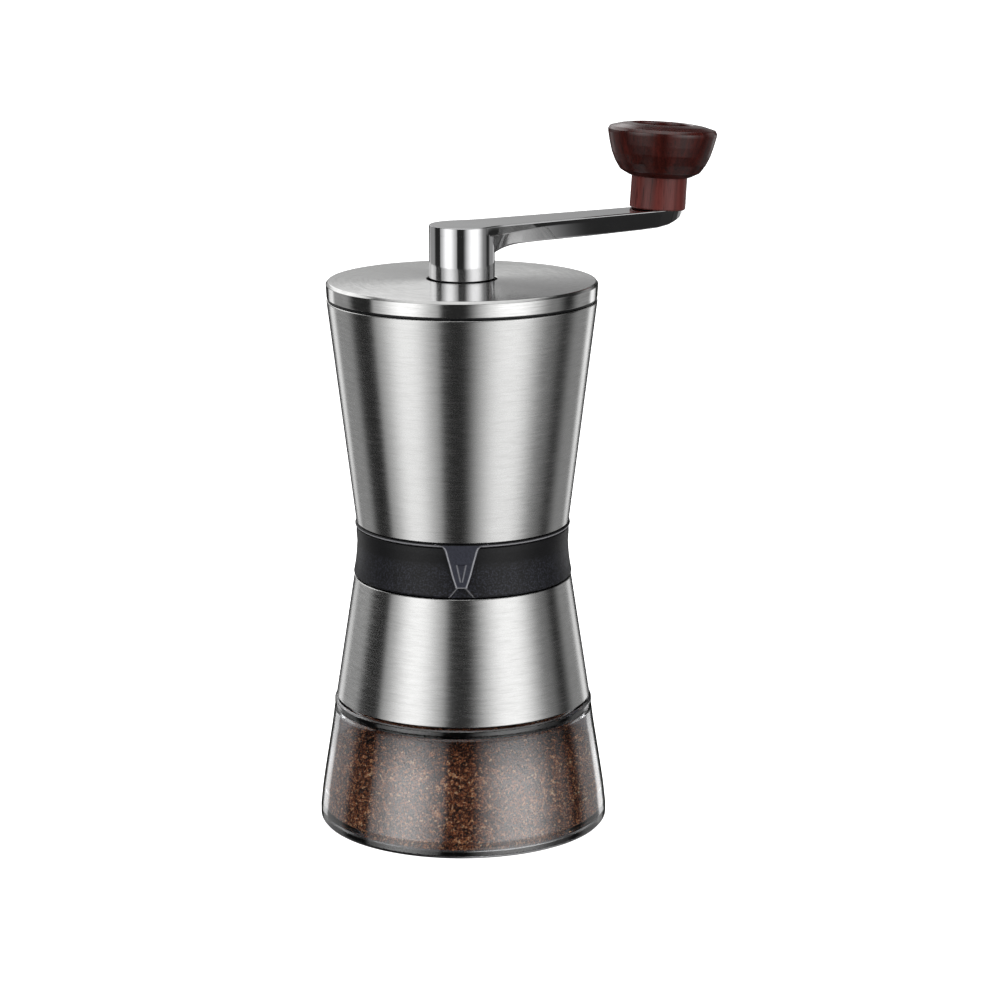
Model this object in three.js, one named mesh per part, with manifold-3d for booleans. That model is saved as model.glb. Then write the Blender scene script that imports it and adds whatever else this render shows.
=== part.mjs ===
// Hand crank coffee grinder: steel hopper, black waist with a click ring, steel skirt, screw-on glass jar,
// ceramic conical burrs on a hex-topped shaft, and a cranked arm with a turned wooden knob.
// Millimetres, +Z up, origin on the flat underside of the jar. The front, with the pointer, faces -Y.
import * as THREE from 'three';
import { mergeVertices } from 'three/addons/utils/BufferGeometryUtils.js';
import Module from 'manifold-3d';

const wasm = await Module();
wasm.setup();

// Facets round large outer pieces, large inner pieces, middle and small turned pieces.
const LARGE = 36;
const INNER = 30;
const MIDDLE = 24;
const SMALL = 12;

// Gap kept between pieces that sit against each other.
const GAP = 0.25;

// Glass jar.
const JAR_BASE_R = 40.0;
const JAR_SHOULDER_Z = 34.75;
const NECK_R = 30.0;
const NECK_BORE_R = 27.8;
const NECK_TOP_Z = 46.0;
const JAR_FLOOR_Z = 1.2;

// Jar thread: three starts, shared by the jar neck and the skirt liner.
const THREAD_STARTS = 3;
const THREAD_LEAD = 12.0;
const THREAD_SPAN = 54;
const RIDGE_STEPS = 3;
const RIDGE_HEIGHT = 1.2;
const JAR_RIDGE_Z = 39.2;
const JAR_RIDGE_R = 30.75;
const LINER_RIDGE_Z = 37.2;
const LINER_RIDGE_R = 30.4;
const LINER_BORE_R = 31.4;

// Steel sleeves.
const SHEET = 0.8;
const LINER_WALL = 1.3;
const SKIRT = { bottomZ: 35.4, bottomR: 35.24, topZ: 69.6, topR: 29.95 };
const HOPPER = { bottomZ: 84.8, bottomR: 29.27, topZ: 146.2, topR: 36.8 };

// Waist: click ring below, fixed collar with the pointer above.
const RING_BORE_R = 27.0;
const RING_BOTTOM_Z = 70.0;
const RING_TOP_Z = 83.5;
const COLLAR_BORE_R = 27.0;
const COLLAR_BOTTOM_Z = 83.8;
const COLLAR_TOP_Z = 84.6;
const RING_TRAVEL = 75;

// Burr carrier and its lift by the click ring.
const CARRIER_R = 24.6;
const BURR_LIFT = 1.2;
const LUG_WIDTH = 4.4;
const LUG_BOTTOM_Z = 71.2;
const LUG_HEIGHT = 3.0;
const LUG_R = 28.1;
const LUG_ANGLES = [30, 150, 270];
const SCREW_ANGLES = [90, 210, 330];

// Core tube that joins hopper and skirt.
const CORE_BORE_R = 24.9;
const CORE_R = 26.7;
const CORE_BOTTOM_Z = 60.2;
const CORE_TOP_Z = 81.9;

// Shaft and burrs.
const SHAFT_R = 3.0;
const SHAFT_BOTTOM_Z = 52.0;
const HEX_BOTTOM_Z = 145.0;
const SHAFT_TOP_Z = 158.0;
const HEX_FLATS = 6.0;
const SOCKET_FLATS = 6.4;
const BURR_TOP_Z = 80.0;
const BURR_BOTTOM_Z = 62.4;
const TEETH = 12;

// Lid, crank and knob.
const LID_HOLE_R = 9.6;
const HUB_R = 8.9;
const HUB_BOTTOM_Z = 151.9;
const ARM_TOP_Z = 166.4;
const BARREL_R = 8.5;
const BARREL_BOTTOM_Z = 142.3;
const CLIP_Z = 143.5;
const CRANK_AZIMUTH = 32;
const KNOB_REACH = 64.2;
const KNOB_LEAN = 4;
const KNOB_BORE_R = 4.5;

const rad = (degrees) => THREE.MathUtils.degToRad(degrees);

const steel = () => new THREE.MeshStandardMaterial({ color: 0xb9bab8, roughness: 0.32, metalness: 1 });
const chrome = () => new THREE.MeshStandardMaterial({ color: 0xd8d9da, roughness: 0.08, metalness: 1 });
const zinc = () => new THREE.MeshStandardMaterial({ color: 0xa9acae, roughness: 0.4, metalness: 1 });
const brass = () => new THREE.MeshStandardMaterial({ color: 0xb59a52, roughness: 0.35, metalness: 1 });
const black = () => new THREE.MeshStandardMaterial({ color: 0x1b1c1e, roughness: 0.6, metalness: 0 });
const ceramic = () => new THREE.MeshStandardMaterial({ color: 0xefece4, roughness: 0.5, metalness: 0 });
const silicone = () => new THREE.MeshStandardMaterial({ color: 0x101012, roughness: 0.8, metalness: 0 });
const wood = () => new THREE.MeshStandardMaterial({ color: 0x4a1a14, roughness: 0.35, metalness: 0 });
const glass = () => {
  const clear = new THREE.MeshStandardMaterial({ color: 0xe6eef2, roughness: 0.03, metalness: 0 });
  clear.transparent = true;
  clear.opacity = 0.35;
  return clear;
};

// Turns any three geometry into a closed solid for boolean work.
function solid(geometry) {
  const bare = new THREE.BufferGeometry();
  const loose = geometry.index ? geometry.toNonIndexed() : geometry;
  bare.setAttribute('position', loose.attributes.position);
  const merged = mergeVertices(bare, 1e-4);
  const index = merged.index.array;
  const kept = [];
  for (let i = 0; i < index.length; i += 3) {
    const [a, b, c] = [index[i], index[i + 1], index[i + 2]];
    if (a !== b && b !== c && c !== a) {
      kept.push(a, b, c);
    }
  }
  return new wasm.Manifold(new wasm.Mesh({
    numProp: 3,
    vertProperties: Float32Array.from(merged.attributes.position.array),
    triVerts: Uint32Array.from(kept),
  }));
}

// Wraps a solid as a named mesh.
function piece(name, shape, material) {
  const data = shape.getMesh();
  const geometry = new THREE.BufferGeometry();
  geometry.setAttribute('position', new THREE.Float32BufferAttribute(data.vertProperties, 3));
  geometry.setIndex(Array.from(data.triVerts));
  geometry.computeVertexNormals();
  const mesh = new THREE.Mesh(geometry, material);
  mesh.name = name;
  return mesh;
}

const join = (first, ...rest) => rest.reduce((all, next) => all.add(next), first);
const cut = (first, ...rest) => rest.reduce((all, next) => all.subtract(next), first);

// Turned solid from a closed profile of [radius, height] points.
function turned(profile, facets) {
  const points = profile.map(([r, z]) => new THREE.Vector2(r, z));
  const ordered = THREE.ShapeUtils.isClockWise(points) ? points.reverse() : points;
  const start = ordered.findIndex((p, i) => {
    const before = ordered[(i + ordered.length - 1) % ordered.length];
    return p.x === 0 && before.x === 0;
  });
  if (start >= 0) {
    const fromAxis = ordered.slice(start).concat(ordered.slice(0, start));
    return solid(new THREE.LatheGeometry(fromAxis, facets).rotateX(Math.PI / 2));
  }
  return solid(new THREE.LatheGeometry([...ordered, ordered[0]], facets).rotateX(Math.PI / 2));
}

// Plain disc or rod, and plain ring, between two heights.
const rod = (r, low, high, facets = SMALL) => turned([[0, low], [r, low], [r, high], [0, high]], facets);
const ring = (inner, outer, low, high, facets = MIDDLE) =>
  turned([[inner, low], [outer, low], [outer, high], [inner, high]], facets);

// Straight-sided solid from an outline in the ground plane.
function prism(outline, low, high) {
  const shape = new THREE.Shape(outline.map(([x, y]) => new THREE.Vector2(x, y)));
  const geometry = new THREE.ExtrudeGeometry(shape, { depth: high - low, bevelEnabled: false });
  return solid(geometry.translate(0, 0, low));
}

// Straight-sided solid from an outline of [x, z] points, running from one y to another.
function plate(outline, nearY, farY) {
  const shape = new THREE.Shape(outline.map(([x, z]) => new THREE.Vector2(x, z)));
  const geometry = new THREE.ExtrudeGeometry(shape, { depth: farY - nearY, bevelEnabled: false });
  return solid(geometry.rotateX(Math.PI / 2).translate(0, farY, 0));
}

// Six-sided bar of a given width across its flats.
function hexBar(flats, low, high) {
  const corner = flats / 2 / Math.cos(Math.PI / 6);
  const outline = [];
  for (let i = 0; i < 6; i += 1) {
    outline.push([corner * Math.cos(rad(60 * i)), corner * Math.sin(rad(60 * i))]);
  }
  return prism(outline, low, high);
}

// Box from its centre and size, turned about its own axes, pushed out to a radius and swung round the axis.
function radialBlock(size, { radius, z, azimuth, pitch = 0, roll = 0 }) {
  const geometry = new THREE.BoxGeometry(...size);
  geometry.rotateX(rad(pitch)).rotateY(rad(roll));
  geometry.translate(radius, 0, z).rotateZ(rad(azimuth));
  return solid(geometry);
}

// Upright rod moved out to a radius and azimuth.
function offsetRod(r, low, high, radius, azimuth, facets = SMALL) {
  const geometry = new THREE.CylinderGeometry(r, r, high - low, facets);
  geometry.rotateX(Math.PI / 2).translate(radius, 0, (low + high) / 2).rotateZ(rad(azimuth));
  return solid(geometry);
}

// Outer radius of a conical sleeve at a height.
function sleeveRadius(sleeve, z) {
  const share = (z - sleeve.bottomZ) / (sleeve.topZ - sleeve.bottomZ);
  return sleeve.bottomR + share * (sleeve.topR - sleeve.bottomR);
}

// Short helical ridge made of overlapping straight blocks.
function helixRidge({ inner, outer, height, startZ, startAngle, span, steps, lead }) {
  const middle = (inner + outer) / 2;
  const pitch = THREE.MathUtils.radToDeg(Math.atan(lead / (2 * Math.PI * middle)));
  const length = 2 * middle * Math.tan(rad(span / steps / 2)) + 0.5;
  const blocks = [];
  for (let i = 0; i < steps; i += 1) {
    const along = (i + 0.5) * span / steps;
    blocks.push(radialBlock([outer - inner, length, height], {
      radius: middle,
      z: startZ + lead * along / 360,
      azimuth: startAngle + along,
      pitch,
    }));
  }
  return join(...blocks);
}

// All starts of one side of the jar thread.
function threadRidges(inner, outer, startZ) {
  const ridges = [];
  for (let i = 0; i < THREAD_STARTS; i += 1) {
    ridges.push(helixRidge({
      inner,
      outer,
      height: RIDGE_HEIGHT,
      startZ,
      startAngle: 360 * i / THREAD_STARTS,
      span: THREAD_SPAN,
      steps: RIDGE_STEPS,
      lead: THREAD_LEAD,
    }));
  }
  return ridges;
}

// Glass jar: flat base, tapering wall, bead under the shoulder, threaded neck.
function jar() {
  const body = turned([
    [0, 0], [39.3, 0], [39.9, 0.6], [JAR_BASE_R, 2.4], [39.3, 9.2], [38.4, 15.1], [36.5, 26.9],
    [35.8, 32.0], [35.3, 32.5], [35.75, 33.1], [35.75, 34.3], [35.3, JAR_SHOULDER_Z],
    [NECK_R, JAR_SHOULDER_Z], [NECK_R, 45.6], [29.6, NECK_TOP_Z], [NECK_BORE_R, NECK_TOP_Z],
    [NECK_BORE_R, 33.4], [33.2, 31.2], [35.4, 21.0], [37.85, 9.2], [38.6, 4.2], [37.9, JAR_FLOOR_Z],
    [0, JAR_FLOOR_Z],
  ], LARGE);
  return join(body, ...threadRidges(NECK_R - 0.3, JAR_RIDGE_R, JAR_RIDGE_Z));
}

// Flat silicone ring round the jar neck, squeezed between shoulder and skirt.
function jarSeal() {
  return ring(30.3, 34.2, 34.9, 35.7, LARGE);
}

// Thin conical steel sleeve.
function sleeve(shell) {
  const inward = (r) => r - SHEET;
  return turned([
    [shell.bottomR, shell.bottomZ], [shell.topR, shell.topZ],
    [inward(shell.topR), shell.topZ], [inward(shell.bottomR), shell.bottomZ],
  ], LARGE);
}

// Black skirt liner: outer wall behind the sleeve, inward shelf, female jar thread.
function skirtLiner() {
  const outside = (z) => sleeveRadius(SKIRT, z) - SHEET - GAP;
  const inside = (z) => outside(z) - LINER_WALL;
  const wall = turned([
    [LINER_BORE_R, 36.0], [outside(36.0), 36.0], [outside(69.0), 69.0], [inside(69.0), 69.0],
    [inside(60.0), 60.0], [20.6, 60.0], [20.6, 58.0], [inside(58.0), 58.0], [31.0, 48.4],
    [LINER_BORE_R, 46.6],
  ], INNER);
  const holes = SCREW_ANGLES.map((azimuth) => offsetRod(1.3, 57, 61, 26.6, azimuth));
  return cut(join(wall, ...threadRidges(LINER_RIDGE_R, LINER_BORE_R + 0.3, LINER_RIDGE_Z)), ...holes);
}

// Tube between hopper and skirt, slotted for the carrier lugs, thick at its foot for the screws.
function bodyCore() {
  const tube = turned([
    [CORE_BORE_R, CORE_BOTTOM_Z], [28.1, CORE_BOTTOM_Z], [28.1, 64.0], [CORE_R, 64.0],
    [CORE_R, CORE_TOP_Z], [20.3, CORE_TOP_Z], [20.3, 79.9], [CORE_BORE_R, 79.9],
  ], INNER);
  const slotTop = LUG_BOTTOM_Z + LUG_HEIGHT + BURR_LIFT + 0.5;
  const slotHeight = slotTop - CORE_BOTTOM_Z + 1;
  const slots = LUG_ANGLES.map((azimuth) => radialBlock([6, LUG_WIDTH + 0.6, slotHeight], {
    radius: 26.6,
    z: slotTop - slotHeight / 2,
    azimuth,
  }));
  const lowHoles = SCREW_ANGLES.map((azimuth) => offsetRod(1.3, 59, 65.3, 26.6, azimuth));
  const highHoles = LUG_ANGLES.map((azimuth) => offsetRod(1.5, 79, 83, 22.0, azimuth));
  return cut(tube, ...slots, ...lowHoles, ...highHoles);
}

// Hopper liner: wall behind the sleeve, rim over its top edge, funnel down to a drilled floor.
function hopperLiner() {
  const outside = (z) => sleeveRadius(HOPPER, z) - SHEET - GAP;
  const inside = (z) => outside(z) - LINER_WALL;
  const body = turned([
    [19.2, 82.2], [26.5, 82.2], [26.5, 85.0], [outside(85.0), 85.0], [outside(146.35), 146.35],
    [36.5, 146.35], [36.5, 147.0], [inside(146.0), 147.0], [inside(145.5), 145.5],
    [inside(93.0), 93.0], [24.4, 86.0], [24.4, 84.2], [19.2, 84.2],
  ], INNER);
  const holes = LUG_ANGLES.map((azimuth) => offsetRod(1.6, 81, 85, 22.0, azimuth));
  return cut(body, ...holes);
}

// Front pointer: a tapering tab that hangs from the collar over the click ring, with a plain arrow sunk in it.
function pointerTab() {
  const outline = [
    [-7.2, 84.6], [-5.4, 84.2], [-4.3, 83.2], [-1.4, 72.8], [1.4, 72.8], [4.3, 83.2], [5.4, 84.2], [7.2, 84.6],
  ];
  const slab = plate(outline, -32, -28.2);
  const skin = turned([
    [0, 72], [30.8, 72], [30.9, 73.4], [30.4, 83.9], [29.9, 84.6], [0, 84.6],
  ], LARGE);
  const ringRoom = rod(29.85, 71, COLLAR_BOTTOM_Z, LARGE);
  const arrow = plate([[-1.2, 79.2], [0, 75.4], [1.2, 79.2]], -32, -30.25);
  return cut(slab.intersect(skin), ringRoom, arrow);
}

// Fixed collar under the hopper: a narrow lip that carries the pointer.
function waistCollar() {
  const band = ring(COLLAR_BORE_R, 29.6, COLLAR_BOTTOM_Z, COLLAR_TOP_Z, LARGE);
  return join(band, pointerTab());
}

// Helical cam groove for one lug, with an entry slot at its low end.
function lugGroove(azimuth) {
  const margin = 7;
  const span = RING_TRAVEL + 2 * margin;
  const risePerTurn = BURR_LIFT * 360 / RING_TRAVEL;
  const centreZ = LUG_BOTTOM_Z + LUG_HEIGHT / 2;
  const groove = helixRidge({
    inner: RING_BORE_R - 1,
    outer: 28.3,
    height: LUG_HEIGHT + 0.6,
    startZ: centreZ + risePerTurn * (RING_TRAVEL + margin) / 360,
    startAngle: azimuth - RING_TRAVEL - margin,
    span,
    steps: 4,
    lead: -risePerTurn,
  });
  const entry = radialBlock([2.4, LUG_WIDTH + 0.8, 4.5], { radius: 27.2, z: 71.4, azimuth: azimuth + 3 });
  return join(groove, entry);
}

// Click ring: waisted outer face, cam grooves inside, index flat below the pointer.
function grindRing() {
  const band = turned([
    [RING_BORE_R, RING_BOTTOM_Z], [29.9, RING_BOTTOM_Z], [30.15, 70.3], [29.6, 73.1], [29.3, 75.9],
    [29.1, 79.0], [29.3, 81.6], [29.25, RING_TOP_Z], [RING_BORE_R, RING_TOP_Z],
  ], LARGE);
  const indexFlat = plate([[-3.5, 69.8], [3.5, 69.8], [1.6, 72.3], [-1.6, 72.3]], -32, -29.4);
  return cut(band, indexFlat, ...LUG_ANGLES.map(lugGroove));
}

// Carrier that lifts the outer burr on three lugs.
function burrCarrier() {
  const cup = turned([
    [17.6, 62.6], [CARRIER_R, 62.6], [CARRIER_R, 77.6], [19.25, 77.6], [19.25, 63.8], [17.6, 63.8],
  ], INNER);
  const reach = LUG_R - CARRIER_R + 2;
  const lugs = LUG_ANGLES.map((azimuth) => radialBlock([reach, LUG_WIDTH, LUG_HEIGHT], {
    radius: LUG_R - reach / 2,
    z: LUG_BOTTOM_Z + LUG_HEIGHT / 2,
    azimuth,
  }));
  return join(cup, ...lugs);
}

// Fixed ceramic burr: a ring with a toothed conical throat.
function outerBurr() {
  const body = turned([
    [16.9, 64.1], [19.0, 64.1], [19.0, 78.0], [16.4, 78.0], [14.6, 76.2], [16.4, 68.0],
  ], 36);
  const notches = [];
  for (let i = 0; i < TEETH; i += 1) {
    notches.push(radialBlock([1.5, 1.5, 20], { radius: 16.2, z: 74, azimuth: 360 * i / TEETH, roll: -11 }));
  }
  return cut(body, ...notches);
}

// Turning ceramic burr: a toothed cone that widens downwards.
function innerBurr() {
  const cone = turned([
    [SHAFT_R + 0.1, BURR_BOTTOM_Z], [15.4, BURR_BOTTOM_Z], [16.3, 63.4], [15.6, 68.2], [9.2, 78.6],
    [8.0, BURR_TOP_Z], [SHAFT_R + 0.1, BURR_TOP_Z],
  ], 36);
  const furrows = [];
  for (let i = 0; i < TEETH; i += 1) {
    furrows.push(radialBlock([2.6, 2.6, 22], {
      radius: 13.6,
      z: 74.5,
      azimuth: 360 * i / TEETH,
      pitch: 16,
      roll: -31,
    }));
  }
  return cut(cone, ...furrows);
}

// Bearing bridge at the hopper floor: ring, three arms and a tall hub.
function bearingBridge() {
  const rim = ring(19.6, 23.6, 84.5, 86.6, INNER);
  const hub = rod(7.5, 84.5, 94.0, MIDDLE);
  const arms = SCREW_ANGLES.map((azimuth) => radialBlock([14, 5, 3.6], { radius: 13.4, z: 86.3, azimuth }));
  const bore = rod(5.15, 80, 98, MIDDLE);
  const holes = LUG_ANGLES.map((azimuth) => offsetRod(1.6, 84, 88, 22.0, azimuth));
  return cut(join(rim, hub, ...arms), bore, ...holes);
}

// Flanged bearing bush: a sleeve between two heights whose flange reaches to a third.
function bush(innerEnd, face, flangeEnd) {
  return turned([
    [SHAFT_R + 0.1, innerEnd], [5.0, innerEnd], [5.0, face], [6.4, face], [6.4, flangeEnd],
    [SHAFT_R + 0.1, flangeEnd],
  ], MIDDLE);
}

// Pan head screw with a hex recess, its shank up or down from the head.
function screw(shankR, headR, headLow, headHigh, tip) {
  const headFace = tip < headLow ? headHigh : headLow;
  const sunk = tip < headLow ? headHigh - 0.9 : headLow + 0.9;
  const neck = tip < headLow ? headLow + 0.2 : headHigh - 0.2;
  const body = join(rod(headR, headLow, headHigh), rod(shankR, Math.min(tip, neck), Math.max(tip, neck), 12));
  const recess = hexBar(headR, Math.min(sunk, headFace) - (headFace < sunk ? 1 : 0),
    Math.max(sunk, headFace) + (headFace > sunk ? 1 : 0));
  return cut(body, recess);
}

// Coil spring about the z axis.
class Coil extends THREE.Curve {
  constructor(radius, low, high, turns) {
    super();
    Object.assign(this, { radius, low, high, turns });
  }

  getPoint(t, target = new THREE.Vector3()) {
    const angle = 2 * Math.PI * this.turns * t;
    const z = this.low + (this.high - this.low) * t;
    return target.set(this.radius * Math.cos(angle), this.radius * Math.sin(angle), z);
  }
}

function coil({ radius, wire, low, high, turns, steps }) {
  const section = new THREE.Shape();
  for (let i = 0; i < 5; i += 1) {
    const x = wire * Math.cos(rad(72 * i));
    const y = wire * Math.sin(rad(72 * i));
    if (i === 0) {
      section.moveTo(x, y);
    } else {
      section.lineTo(x, y);
    }
  }
  section.closePath();
  const path = new Coil(radius, low, high, turns);
  return solid(new THREE.ExtrudeGeometry(section, { steps, extrudePath: path }));
}

// Drive shaft: round rod with a hexagonal top.
function driveShaft() {
  return join(
    turned([
      [0, SHAFT_BOTTOM_Z], [2.6, SHAFT_BOTTOM_Z], [SHAFT_R, SHAFT_BOTTOM_Z + 0.5], [SHAFT_R, HEX_BOTTOM_Z],
      [0, HEX_BOTTOM_Z],
    ], MIDDLE),
    hexBar(HEX_FLATS, HEX_BOTTOM_Z - 0.5, SHAFT_TOP_Z),
  );
}

// Thin steel lid shell with a rounded shoulder and a central hole.
function lidShell() {
  return turned([
    [35.95, 147.2], [36.75, 147.2], [36.9, 150.0], [36.8, 150.8], [36.2, 151.3],
    [LID_HOLE_R, 151.7], [LID_HOLE_R, 150.8], [35.5, 150.4],
  ], LARGE);
}

// Black lid insert: a skirt that enters the hopper mouth and a boss that guides the crank barrel.
function lidPlug() {
  return turned([
    [9.2, 144.2], [11.8, 144.2], [11.8, 148.6], [32.4, 148.6], [32.4, 142.5], [33.6, 142.5],
    [33.6, 147.3], [35.6, 147.3], [35.2, 150.1], [9.2, 150.1],
  ], INNER);
}

// Side outline of the crank arm: flat top, upturned nose, fillet under the hub.
function armSide() {
  return plate([
    [0, ARM_TOP_Z], [71.3, ARM_TOP_Z], [71.5, 165.8], [71.0, 164.8], [69.5, 163.6], [67.8, 162.6],
    [65.8, 161.8], [62.5, 161.3], [56.0, 161.0], [40.0, 160.8], [22.0, 160.5], [16.0, 160.1],
    [13.2, 159.3], [11.2, 158.0], [9.8, 156.2], [8.6, 154.4], [0, 154.4],
  ], -10, 10);
}

// Plan outline of the crank arm: gentle taper and a rounded end.
function armPlan() {
  const side = [
    [0, 7.4], [9, 7.2], [15, 6.9], [25, 6.55], [50, 5.65], [62, 5.45], [66, 5.2], [69, 4.4], [70.8, 3.0], [71.5, 1.2],
  ];
  const far = side.map(([x, y]) => [x, -y]);
  return prism([...far, ...side.reverse()], 150, 170);
}

// Crank: hub, barrel through the lid, and arm, with a blind socket bore and a clip groove.
function crankArm() {
  const hub = turned([
    [0, BARREL_BOTTOM_Z], [BARREL_R - 0.4, BARREL_BOTTOM_Z], [BARREL_R, BARREL_BOTTOM_Z + 0.4],
    [BARREL_R, HUB_BOTTOM_Z], [HUB_R - 0.4, HUB_BOTTOM_Z], [HUB_R, HUB_BOTTOM_Z + 0.5],
    [HUB_R, ARM_TOP_Z - 0.25], [HUB_R - 0.25, ARM_TOP_Z], [0, ARM_TOP_Z],
  ], MIDDLE);
  const groove = ring(7.6, 10, CLIP_Z - 0.5, CLIP_Z + 0.5);
  const bore = rod(6.15, BARREL_BOTTOM_Z - 1, 162.2, 24);
  const pivot = solid(new THREE.CylinderGeometry(2.45, 2.45, 20, SMALL)
    .rotateX(Math.PI / 2).rotateY(rad(KNOB_LEAN)).translate(KNOB_REACH, 0, ARM_TOP_Z));
  return cut(join(hub, armSide().intersect(armPlan())), groove, bore, pivot);
}

// Steel insert in the hub with the hex socket for the shaft.
function driveSocket() {
  return cut(rod(6.0, 142.8, 162.0, 24), hexBar(SOCKET_FLATS, 142, 160.5));
}

// Open retaining clip in the barrel groove, under the lid insert.
function crankClip() {
  const washer = ring(7.8, 10.4, CLIP_Z - 0.35, CLIP_Z + 0.35);
  const mouth = radialBlock([10, 9, 3], { radius: 8, z: CLIP_Z, azimuth: 180 });
  return cut(washer, mouth);
}

// Turned wooden knob: straight neck, flared bowl, convex top with a sunk middle.
function knobBody() {
  return turned([
    [5.8, 0.7], [7.8, 0.7], [7.8, 8.6], [9.3, 9.9], [11.2, 11.5], [13.05, 14.4], [14.8, 18.9],
    [15.3, 21.1], [14.9, 22.1], [11.5, 23.1], [8.6, 23.6], [8.3, 18.3], [5.6, 18.3], [5.6, 15.3], [KNOB_BORE_R, 15.3],
    [KNOB_BORE_R, 1.2], [5.8, 1.2],
  ], 30);
}

// Dished wooden plug that hides the pivot screw.
function knobPlug() {
  return turned([
    [0, 18.6], [8.1, 18.6], [8.1, 21.7], [5.5, 20.7], [0, 20.2],
  ], 32);
}

// Shoulder screw the knob spins on.
function knobScrew() {
  const body = join(rod(4.6, 15.5, 17.8), rod(2.5, 0.3, 15.6), rod(2.3, -4.6, 0.4));
  return cut(body, hexBar(4, 16.4, 19));
}

// Everything that turns with the crank, laid out along +X and then swung to its resting azimuth.
function crankGroup() {
  const group = new THREE.Group();
  group.name = 'crank_group';
  group.rotation.z = rad(CRANK_AZIMUTH);
  group.add(
    piece('crank_arm', crankArm(), chrome()),
    piece('drive_socket', driveSocket(), zinc()),
    piece('crank_clip', crankClip(), zinc()),
  );
  const knob = new THREE.Group();
  knob.name = 'knob_group';
  knob.position.set(KNOB_REACH, 0, ARM_TOP_Z);
  knob.rotation.y = rad(KNOB_LEAN);
  knob.add(
    piece('knob', knobBody(), wood()),
    piece('knob_plug', knobPlug(), wood()),
    piece('knob_bush', ring(2.65, 4.35, 1.3, 15.2, 16), brass()),
    piece('knob_screw', knobScrew(), zinc()),
    piece('knob_washer', ring(2.65, 5.5, 0.5, 1.05, 16), black()),
  );
  group.add(knob);
  return group;
}

// Shaft, turning burr and what clamps it.
function driveGroup() {
  const group = new THREE.Group();
  group.name = 'drive_group';
  group.rotation.z = rad(CRANK_AZIMUTH);
  group.add(
    piece('drive_shaft', driveShaft(), steel()),
    piece('inner_burr', innerBurr(), ceramic()),
    piece('burr_spring', coil({ radius: 4.6, wire: 0.4, low: 80.6, high: 83.0, turns: 2.5, steps: 24 }), zinc()),
    piece('burr_washer', ring(SHAFT_R + 0.1, 7.5, 60.9, 62.2), zinc()),
    piece('lock_nut', cut(hexBar(10, 55.0, 60.7), rod(SHAFT_R + 0.1, 54, 62, MIDDLE)), zinc()),
  );
  return group;
}

// Three copies of a screw at a radius, one for each azimuth.
function screwCircle(prefix, shape, radius, azimuths) {
  return azimuths.map((azimuth, i) => {
    const mesh = piece(`${prefix}_${i + 1}`, shape, zinc());
    mesh.position.set(radius * Math.cos(rad(azimuth)), radius * Math.sin(rad(azimuth)), 0);
    return mesh;
  });
}

const grinder = new THREE.Group();
grinder.name = 'hand_crank_coffee_grinder';
grinder.add(
  piece('jar', jar(), glass()),
  piece('jar_seal', jarSeal(), silicone()),
  piece('skirt_sleeve', sleeve(SKIRT), steel()),
  piece('skirt_liner', skirtLiner(), black()),
  piece('body_core', bodyCore(), black()),
  piece('waist_collar', waistCollar(), black()),
  piece('grind_ring', grindRing(), black()),
  piece('burr_carrier', burrCarrier(), black()),
  piece('outer_burr', outerBurr(), ceramic()),
  piece('hopper_sleeve', sleeve(HOPPER), steel()),
  piece('hopper_liner', hopperLiner(), black()),
  piece('bearing_bridge', bearingBridge(), black()),
  piece('upper_bush', bush(89.6, 94.2, 95.2), brass()),
  piece('lower_bush', bush(88.8, 84.3, 83.3), brass()),
  piece('lid_shell', lidShell(), steel()),
  piece('lid_plug', lidPlug(), black()),
  ...screwCircle('bridge_screw', screw(1.3, 2.2, 86.8, 88.4, 79.2), 22.0, LUG_ANGLES),
  ...screwCircle('core_screw', screw(1.1, 2.2, 56.2, 57.8, 65.0), 26.6, SCREW_ANGLES),
  crankGroup(),
  driveGroup(),
);

export default grinder;
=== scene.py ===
import math

import bmesh
import bpy
import numpy as np
from mathutils import Matrix, Vector, noise


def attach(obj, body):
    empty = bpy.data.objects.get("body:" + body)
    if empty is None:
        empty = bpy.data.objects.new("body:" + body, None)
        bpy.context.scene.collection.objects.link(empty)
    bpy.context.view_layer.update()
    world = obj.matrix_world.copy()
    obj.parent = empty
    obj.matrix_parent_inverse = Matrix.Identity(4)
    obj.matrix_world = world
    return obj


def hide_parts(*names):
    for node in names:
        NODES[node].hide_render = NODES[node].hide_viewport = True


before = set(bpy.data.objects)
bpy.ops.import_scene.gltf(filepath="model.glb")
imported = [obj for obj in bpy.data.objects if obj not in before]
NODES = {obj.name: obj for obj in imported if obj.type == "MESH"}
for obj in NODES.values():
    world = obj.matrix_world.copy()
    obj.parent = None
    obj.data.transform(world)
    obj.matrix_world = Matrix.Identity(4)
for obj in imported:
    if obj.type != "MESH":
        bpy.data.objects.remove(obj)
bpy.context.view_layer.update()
MM = 0.001

# ---------------------------------------------------------------- camera

CAMERA_LENS = 109.66
CAMERA_PLACE = (0.0103, -0.8170, 0.2799)
CAMERA_TILT = 13.08  # degrees

cam_data = bpy.data.cameras.new("camera")
cam_data.sensor_width = 36.0
cam_data.lens = CAMERA_LENS
cam_data.dof.use_dof = False
cam_data.clip_start = 0.05
cam_data.clip_end = 30.0
camera = bpy.data.objects.new("camera", cam_data)
camera.location = CAMERA_PLACE
camera.rotation_euler = (math.radians(90.0 - CAMERA_TILT), 0.0, 0.0)
bpy.context.scene.collection.objects.link(camera)
bpy.context.scene.camera = camera

bpy.context.scene.view_settings.view_transform = "Standard"
bpy.context.scene.view_settings.look = "None"
bpy.context.scene.view_settings.exposure = 0.0
bpy.context.scene.view_settings.gamma = 1.0

# ---------------------------------------------------------------- sizes (mm, from the CAD)

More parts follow.
